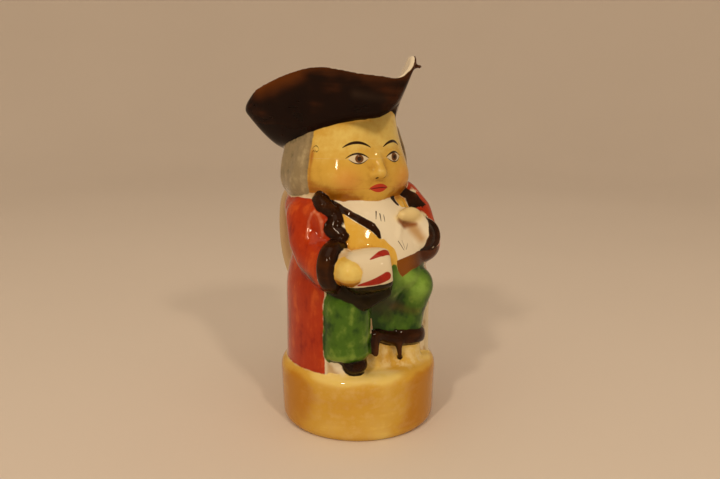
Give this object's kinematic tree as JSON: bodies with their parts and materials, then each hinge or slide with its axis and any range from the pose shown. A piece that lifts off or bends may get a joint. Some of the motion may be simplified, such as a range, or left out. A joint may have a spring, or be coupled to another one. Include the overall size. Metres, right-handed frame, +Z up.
{
  "type": "toby jug",
  "caption": "Hollow glazed-pottery jug shaped as a seated figure with a cup, on a round drum base; the cocked hat is its open mouth and spout, and a strap handle loops behind.",
  "frame": {"origin": "centre of the flat underside of the drum base, which the jug stands on", "axes": "+Z up through the hat, -Y the way the figure faces and pours, +Y the handle, -X the figure's right hand with the cup"},
  "size_m": [0.0801, 0.1135, 0.1635],
  "materials": {
    "glazed_earthenware": "glossy"
  },
  "bodies": {
    "root": {"toby_jug": "glazed_earthenware"}
  },
  "joints": []
}
